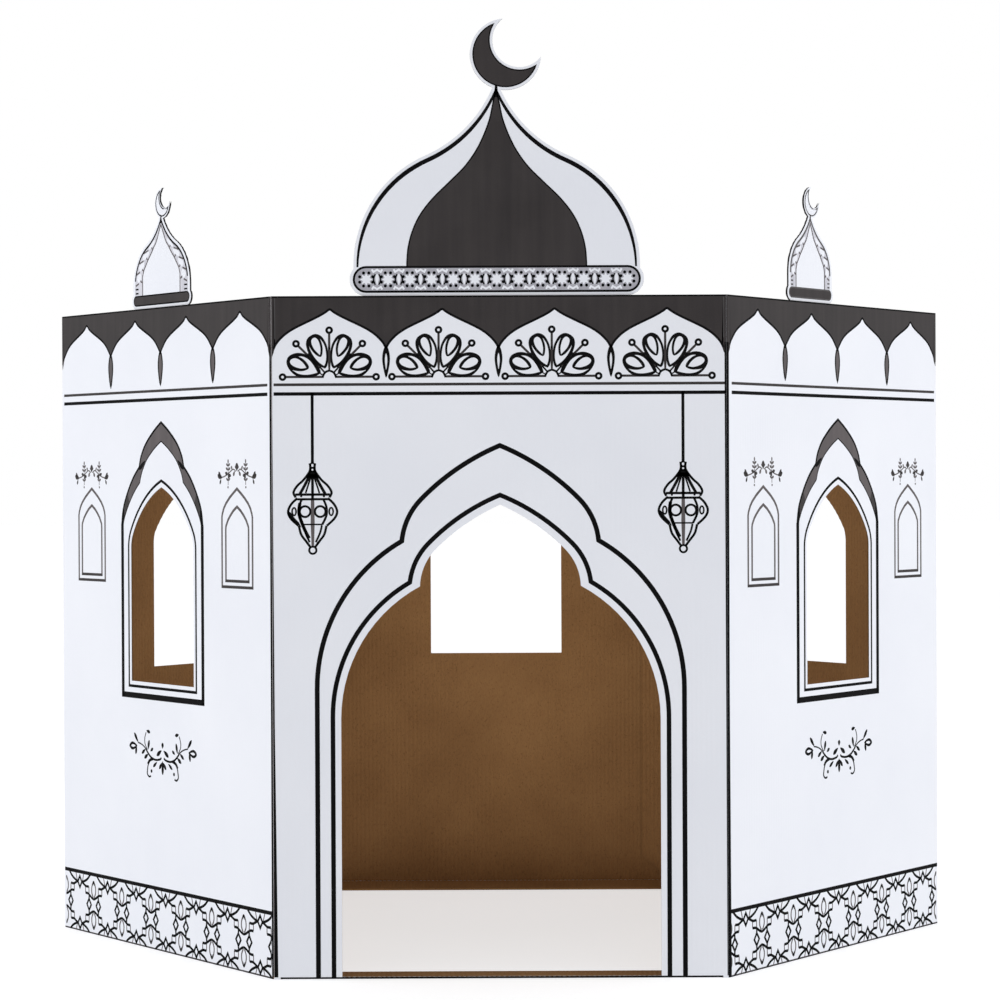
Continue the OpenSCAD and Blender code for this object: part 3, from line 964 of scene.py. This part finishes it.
# Ink that runs round the folds: a black line down the two front ones, the frieze's field round all six,
# and a line along the front wall's foot
def foldPrint():
    board, turn, half = house["board"], house["foldTurn"], house["panelWidth"] / 2
    lean = math.radians(turn)
    depth = wide * math.sin(lean)
    flapDepth = depth - 2 * board
    frontCentre = (half - board * math.tan(lean / 2), board - depth)
    farCentre = (half + wide * math.cos(lean) - board / math.sin(lean), 0)
    flapCentre = (farCentre[0] - flapDepth / math.tan(lean), flapDepth)
    leftCentre, backCentre = ((-x, -y) for x, y in (flapCentre, frontCentre))
    field = ("charcoal", sideFrieze["meet"] - foldLine["fieldDrop"], foldLine["fieldTop"])
    line = ("black", foldLine["low"], foldLine["high"])
    footEnd = half - foldLine["footInset"]
    folds = [
        (frontCentre, -90, turn - 90, *field), (leftCentre, 270 - turn, 270, *field),
        (frontCentre, -90, turn - 90, *line), (leftCentre, 270 - turn, 270, *line),
        (farCentre, turn - 90, 90 - turn, *field), ((-farCentre[0], 0), 90 + turn, 270 - turn, *field),
        (backCentre, 90, 90 + turn, *field), (flapCentre, 90 - turn, 90, *field),
        ((board - depth, board), 180, 240, "black", -footEnd, footEnd),   # runs along x
    ]
    points, faces, slots = [], [], []
    for centre, start, stop, ink, low, high in folds:
        sweep = (math.radians(start), math.radians(stop), 10)
        outer = arcPoints(centre, board + inkLook["tops"][ink], *sweep)
        ring = outer + arcPoints(centre, board - inkLook["film"], *sweep)[::-1]
        first, count, before = len(points), len(ring), len(faces)
        for level in (low, high):
            points += [(level, x, y) if low < 0 else (x, y, level) for x, y in ring]
        for k in range(count):
            after = (k + 1) % count
            faces.append((first + k, first + after, first + count + after, first + count + k))
        for k in range(len(outer) - 1):
            quad = (k, k + 1, count - 2 - k, count - 1 - k)
            faces += [[first + i for i in reversed(quad)], [first + count + i for i in quad]]
        slots += [inks.index(ink)] * (len(faces) - before)
    mesh = bpy.data.meshes.new("foldPrint")
    mesh.from_pydata([(x * mm, y * mm, z * mm) for x, y, z in points], [], faces)
    mesh.polygons.foreach_set("material_index", slots)
    finishPiece("foldPrint", mesh, [paints[ink] for ink in inks])


foldPrint()


# Onion outline, left half: straight side, a bulge that runs into a hollow curve, grown outwards
def onionLeft(width, height, rise, bulge, hollow, grow):
    centre = Vector((bulge - width / 2, rise))
    other = circlesMeet(centre, bulge + hollow, (0, height), hollow)[0]
    turn = angleOf(centre, other)
    radius = hollow - grow
    neck = math.asin(min(1, (height - other.y) / radius))
    left = arcPoints(centre, bulge + grow, math.pi, turn, 20)
    left += arcPoints(other, radius, turn - math.pi, neck, 20)[1:]
    foot = [(-width / 2 - grow, 0)] if rise else []
    return foot + [p for p in left if p[0] < -0.2] + [(0, height)]


def crescentLoop(centre, radius, bite, shift, lean=math.radians(44.5)):
    spot = Vector(centre) + Vector((math.sin(lean), math.cos(lean))) * shift
    tipA, tipB = circlesMeet(centre, radius, spot, bite)
    start, end = angleOf(centre, tipA), angleOf(centre, tipB)
    outer = arcPoints(centre, radius, start, end if end > start else end + 2 * math.pi, 40)
    first, last = angleOf(spot, tipB), angleOf(spot, tipA)
    inner = arcPoints(tuple(spot), bite, first, last if last < first else last - 2 * math.pi, 32)
    return outer + inner[1:-1]


# Large dome: star band, outlined onion with a charcoal heart, filled crescent
domeLook = {
    "middle": 294.5, "foot": 896.0, "bandWidth": 376.0, "bandHeight": 35.0, "bandLine": 2.9, "stars": 13,
    "starPitch": 28.4, "starRadii": (8.4, 4.9), "width": 366.0, "height": 233.0, "bulge": 153.0, "hollow": 174.0,
    "line": [(0, 2.5), (46, 4.2), (87, 5.3), (130, 5.9), (171, 5.1), (212, 3.8), (233, 3.0)],
    "crescent": 42.3, "bite": 39.7, "shift": 26.2, "crescentSide": 12.5,
    "heart": [(-117, 929), (-117, 937), (-115.2, 956), (-109.5, 977), (-99.3, 998), (-82.9, 1019), (-61.9, 1039.5),
              (-41.4, 1060), (-26.3, 1081), (-15.8, 1102), (-8.2, 1123), (-4, 1143), (0, 1160)],
}


def stadium(width, height, foot):
    reach, radius = (width - height) / 2, height / 2
    right = arcPoints((reach, foot + radius), radius, -math.pi / 2, math.pi / 2, 14)
    return right + arcPoints((-reach, foot + radius), radius, math.pi / 2, 1.5 * math.pi, 14)


# Line inside a left-hand outline and its mirror image, as thick as its height above the base asks
def innerLine(left, base, widths):
    inner = []
    for i, p in enumerate(left):
        before, after = left[max(i - 1, 0)], left[min(i + 1, len(left) - 1)]
        way = (Vector(after) - Vector(before)).normalized()
        rise = p[1] - base
        (h0, w0), (h1, w1) = next(((a, b) for a, b in zip(widths, widths[1:]) if rise <= b[0]), widths[-2:])
        thick = w0 + (w1 - w0) * (rise - h0) / (h1 - h0)
        inner.append((p[0] + way.y * thick, p[1] - way.x * thick))
    inner = [p for p in inner if p[0] < -0.4]
    return [[bothHalves(left) + bothHalves(inner + [(0, inner[-1][1])])[::-1]]]


# One star of the dome's band with the lens and chevrons on its right
def bandStar(middle):
    turns = [k * math.pi / 8 for k in range(16)]
    radii = domeLook["starRadii"] * 8
    star = [(r * math.cos(t), middle + r * math.sin(t)) for r, t in zip(radii, turns)]
    dots = [p for t in turns[1::2] for p in disc((9.2 * math.cos(t), middle + 9.2 * math.sin(t)), 2.1, 10)]
    edge = domeLook["starPitch"] / 2
    white = [[star]] + leaf((edge, middle - 7.6), (edge, middle + 7.6), 4.6)
    for side in (-1, 1):
        chevron = ((-6.8, 13.2), (-4.8, 9.8), (0, 12.6), (4.8, 9.8), (6.8, 13.2))
        white += stroke([(edge + u, middle + side * v) for u, v in chevron], 2.6)
        near, far = edge + side * 2.4, edge + side * 4.6
        dots += strokes((1.9, (near, middle - 7), (far, middle), (near, middle + 7)))
    return white, dots


def domePrint():
    look = domeLook
    middle, foot, band = look["middle"], look["foot"], look["bandHeight"]
    base, line = foot + band, look["bandLine"]
    onion = [(x, y + base) for x, y in onionLeft(look["width"], look["height"], 0, look["bulge"], look["hollow"], 0)]
    heart = bothHalves(curveThrough(look["heart"]))
    tip = base + look["height"]
    moon = crescentLoop((look["crescentSide"], tip + 42.5), look["crescent"], look["bite"], look["shift"])
    neck = [[[(-2.4, tip - 9), (2.4, tip - 9), (1.8, tip + 2), (-1.4, tip + 2)]]]
    ground = stadium(look["bandWidth"] - line, band - line, foot + line / 2)
    lines = stroke(ground, line, True)
    lines += innerLine([(onion[0][0], base - 1.5)] + onion[1:], base, look["line"]) + neck
    lines += stroke(moon, 1.8, True) + stroke(heart, 1.9)
    white, dots = bandStar(foot + band / 2)
    first = middle - look["starPitch"] * (look["stars"] - 1) / 2
    places = (look["stars"], first, look["starPitch"])
    return [
        ("pale", moved([[ground]], middle, 0)),
        ("charcoal", moved([[heart], [moon]], middle, 0)),
        inkRow("white", white[:1], *places),
        inkRow("white", white[1:], look["stars"] - 1, first, look["starPitch"]),
        inkRow("black", dots[:8], *places),
        inkRow("black", dots[8:], look["stars"] - 1, first, look["starPitch"]),
        ("black", moved(lines, middle, 0)),
    ]


# Small turret: dark foot band, onion with a patterned border, outlined crescent
turretLook = {
    "foot": 896.0, "bandHeight": 15.0, "inset": 3.0, "hollow": 90.0, "line": 3.0, "softLine": 2.2,
    "crescent": 19.0, "bite": 17.0, "shift": 11.0, "crescentSide": 4.0,
    "inner": [(0.335, 0), (0.335, 0.245), (0.31, 0.33), (0.265, 0.405), (0.236, 0.457), (0.197, 0.51), (0.164, 0.56),
              (0.132, 0.613), (0.094, 0.665), (0.07, 0.717), (0.02, 0.85), (0, 0.9)],
    "left": {"width": 159.0, "middle": 294.5, "height": 106.0, "rise": 10.0, "bulge": 63.0, "ink": "black"},
    "right": {"width": 118.0, "middle": 226.5, "height": 98.0, "rise": 19.0, "bulge": 53.0, "ink": "scuff"},
}


def turretPrint(side):
    look = turretLook
    size = look[side]
    broad, height = size["width"], size["height"]
    base, line = look["foot"] + look["bandHeight"], look["line"]
    dome = broad - 2 * look["inset"]
    outer = onionLeft(dome, height, size["rise"], size["bulge"], look["hollow"], -line / 2)
    inner = [(-x * broad, y * height) for x, y in look["inner"]]
    outer, inner = ([(x, y + base) for x, y in half] for half in (outer, inner))

    def between(share, across):
        spots = []
        for half in (outer, inner):
            level = base + share * height
            pairs = zip(half, half[1:])
            a, b = next(((a, b) for a, b in pairs if a[1] <= level <= b[1] and a[1] < b[1]), half[-2:])
            spots.append(Vector(a).lerp(Vector(b), (level - a[1]) / (b[1] - a[1])))
        return tuple(spots[0].lerp(spots[1], across))

    cells, ties, dashes = [], [], []
    for low in (0.17, 0.32, 0.46, 0.59):
        corners = ((0, 0.5), (0.05, 0.2), (0.10, 0.3), (0.12, 0.6), (0.05, 0.8))
        cells += [[curveThrough([between(low + up, across) for up, across in corners], closed=True, steps=3)]]
        ties += stroke([between(low - 0.04, 0.08), between(low - 0.01, 0.5)], 2.4)
        ties += leaf(between(low - 0.005, 0.98), between(low + 0.03, 0.66), 3.0)
    for low in (0.03, 0.085):
        dashes += stroke([between(low, 0.08), between(low, 0.46)], 2.2)
    pattern = [[outer + inner[::-1]]]
    centre = (look["crescentSide"], base + height + look["crescent"])
    moon = crescentLoop(centre, look["crescent"] - 1, look["bite"], look["shift"])
    upper = [p for p in outer if p[1] > base + 0.16 * height]
    lines = stroke(bothHalves(upper), line) + mirrored(dashes) + stroke(moon, 1.8, True)
    lines += stroke([(0, base + height - 7), (0.4, base + height + 1.5)], 2.8)
    band = [stadium(broad, look["bandHeight"], look["foot"])]
    lines += stroke(stadium(broad - 2, look["bandHeight"] - 2, look["foot"] + 1), 2, True)
    middle = size["middle"]
    return [
        ("mist", moved(mirrored(pattern), middle, 0)),
        ("white", moved(mirrored(cells), middle, 0)),
        ("grey", moved(stroke(bothHalves(inner), look["softLine"]) + mirrored(ties), middle, 0)),
        ("charcoal", moved([band], middle, 0)),
        (size["ink"], moved(lines, middle, 0)),
    ]


for name, wall, layers in (
    ("domePrint", "front", domePrint()),
    ("leftTurretPrint", "frontLeft", turretPrint("left")),
    ("rightTurretPrint", "frontRight", turretPrint("right")),
):
    printOn(name, wall, layers, house["board"])


# Stage: pale floor and soft studio light
stageLook = {
    "floor": 80.0,
    "glow": 0.95,
    "farGlow": 1.02,
    "skyFront": 0.72,
    "zenithFall": 0.60,
    "skyBack": 1.0,
    "sideLight": 39.5,
    "sidePlace": (4.2, -1.0, 1.8),
    "sideAim": (0.45, -0.2, 0.5),
    "roomLight": 0.60,
    "roomPlace": (0, -0.4, 0.62),
    "roomAim": (0, 0.48, 0.60),
    "roomSpread": 105,
}


def studioFloor():
    material, tree = newMaterial("paleFloor")
    tone = rampOf(tree, noiseOn(tree, 0.6, 2), (0.3, (0.60, 0.60, 0.605)), (0.7, (0.62, 0.62, 0.625)))
    spot = addNode(tree, "ShaderNodeTexCoord")
    away = addNode(tree, "ShaderNodeVectorMath", {0: spot.outputs["Object"]}, operation="LENGTH")
    glow = addNode(tree, "ShaderNodeMapRange", {
        "Value": away.outputs["Value"], "From Min": 0.7, "From Max": 1.7,
        "To Min": stageLook["glow"], "To Max": stageLook["farGlow"]}).outputs["Result"]
    shader = tree.nodes["Principled BSDF"]
    for socket, value in (("Base Color", tone), ("Emission Color", tone), ("Emission Strength", glow)):
        tree.links.new(value, shader.inputs[socket])
    shader.inputs["Roughness"].default_value = 0.85
    half = stageLook["floor"] / 2
    mesh = bpy.data.meshes.new("floor")
    mesh.from_pydata([(-half, -half, 0), (half, -half, 0), (half, half, 0), (-half, half, 0)], [], [(0, 1, 2, 3)])
    mesh.materials.append(material)
    floor = bpy.data.objects.new("floor", mesh)
    scene.collection.objects.link(floor)


def softLight(name, place, target, size, power, spread=180):
    lamp = bpy.data.lights.new(name, "AREA")
    lamp.shape = "RECTANGLE"
    lamp.size, lamp.size_y = size
    lamp.energy = power
    lamp.spread = math.radians(spread)
    light = bpy.data.objects.new(name, lamp)
    light.location = place
    light.rotation_euler = (Vector(target) - Vector(place)).to_track_quat("-Z", "Y").to_euler()
    scene.collection.objects.link(light)


# White sky, dimmer on the doorway's side, so that the front wall is a little greyer than the side walls
def studioLight():
    world = bpy.data.worlds.new("studio")
    world.use_nodes = True
    tree = world.node_tree
    way = addNode(tree, "ShaderNodeTexCoord")
    parts = addNode(tree, "ShaderNodeSeparateXYZ", {"Vector": way.outputs["Generated"]})
    spread = addNode(tree, "ShaderNodeMapRange", {
        "Value": parts.outputs["Y"], "From Min": -1.0, "From Max": 0.1,
        "To Min": stageLook["skyFront"], "To Max": stageLook["skyBack"]}, interpolation_type="SMOOTHSTEP")
    fall = addNode(tree, "ShaderNodeMapRange", {
        "Value": parts.outputs["Z"], "From Min": 0.25, "To Min": 1.0, "To Max": 1.0 - stageLook["zenithFall"]})
    sky = tree.nodes["Background"]
    sky.inputs["Color"].default_value = (1.0, 1.0, 1.0, 1)
    strength = mathNode(tree, "MULTIPLY", spread.outputs["Result"], fall.outputs["Result"])
    tree.links.new(strength, sky.inputs["Strength"])
    scene.world = world
    look = stageLook
    for side in (-1, 1):
        place, aim = ((side * x, y, z) for x, y, z in (look["sidePlace"], look["sideAim"]))
        softLight("sideLight", place, aim, (2.0, 2.4), look["sideLight"])
    softLight("roomLight", look["roomPlace"], look["roomAim"], (0.3, 0.3), look["roomLight"], look["roomSpread"])
    scene.view_settings.view_transform = "Standard"
    scene.view_settings.look = "None"


studioFloor()
studioLight()


# Camera at the photograph's place, worked out from the folds and corners of the walls
cameraLook = {
    "place": (-4.7, -4531.8, 652.9),
    "yaw": -0.066,
    "pitch": -0.394,
    "roll": 0.243,
    "focalPixels": 3100.8,
    "imagePixels": 1000.0,
    "sensor": 36.0,
}


def photoCamera():
    look = cameraLook
    yaw, pitch, roll = (math.radians(look[k]) for k in ("yaw", "pitch", "roll"))
    turned = Matrix.Rotation(yaw, 3, "Z") @ Matrix.Rotation(pitch, 3, "X") @ Matrix.Rotation(roll, 3, "Y")
    right, forward, up = turned.col
    lens = bpy.data.cameras.new("photoCamera")
    lens.sensor_width = look["sensor"]
    lens.lens = look["focalPixels"] / look["imagePixels"] * look["sensor"]
    lens.clip_end = 100
    camera = bpy.data.objects.new("photoCamera", lens)
    facing = Matrix((right, up, -forward)).transposed().to_4x4()
    camera.matrix_world = Matrix.Translation(Vector(look["place"]) * mm) @ facing
    scene.collection.objects.link(camera)
    scene.camera = camera


photoCamera()
print("stage and camera ready")

bpy.context.view_layer.update()
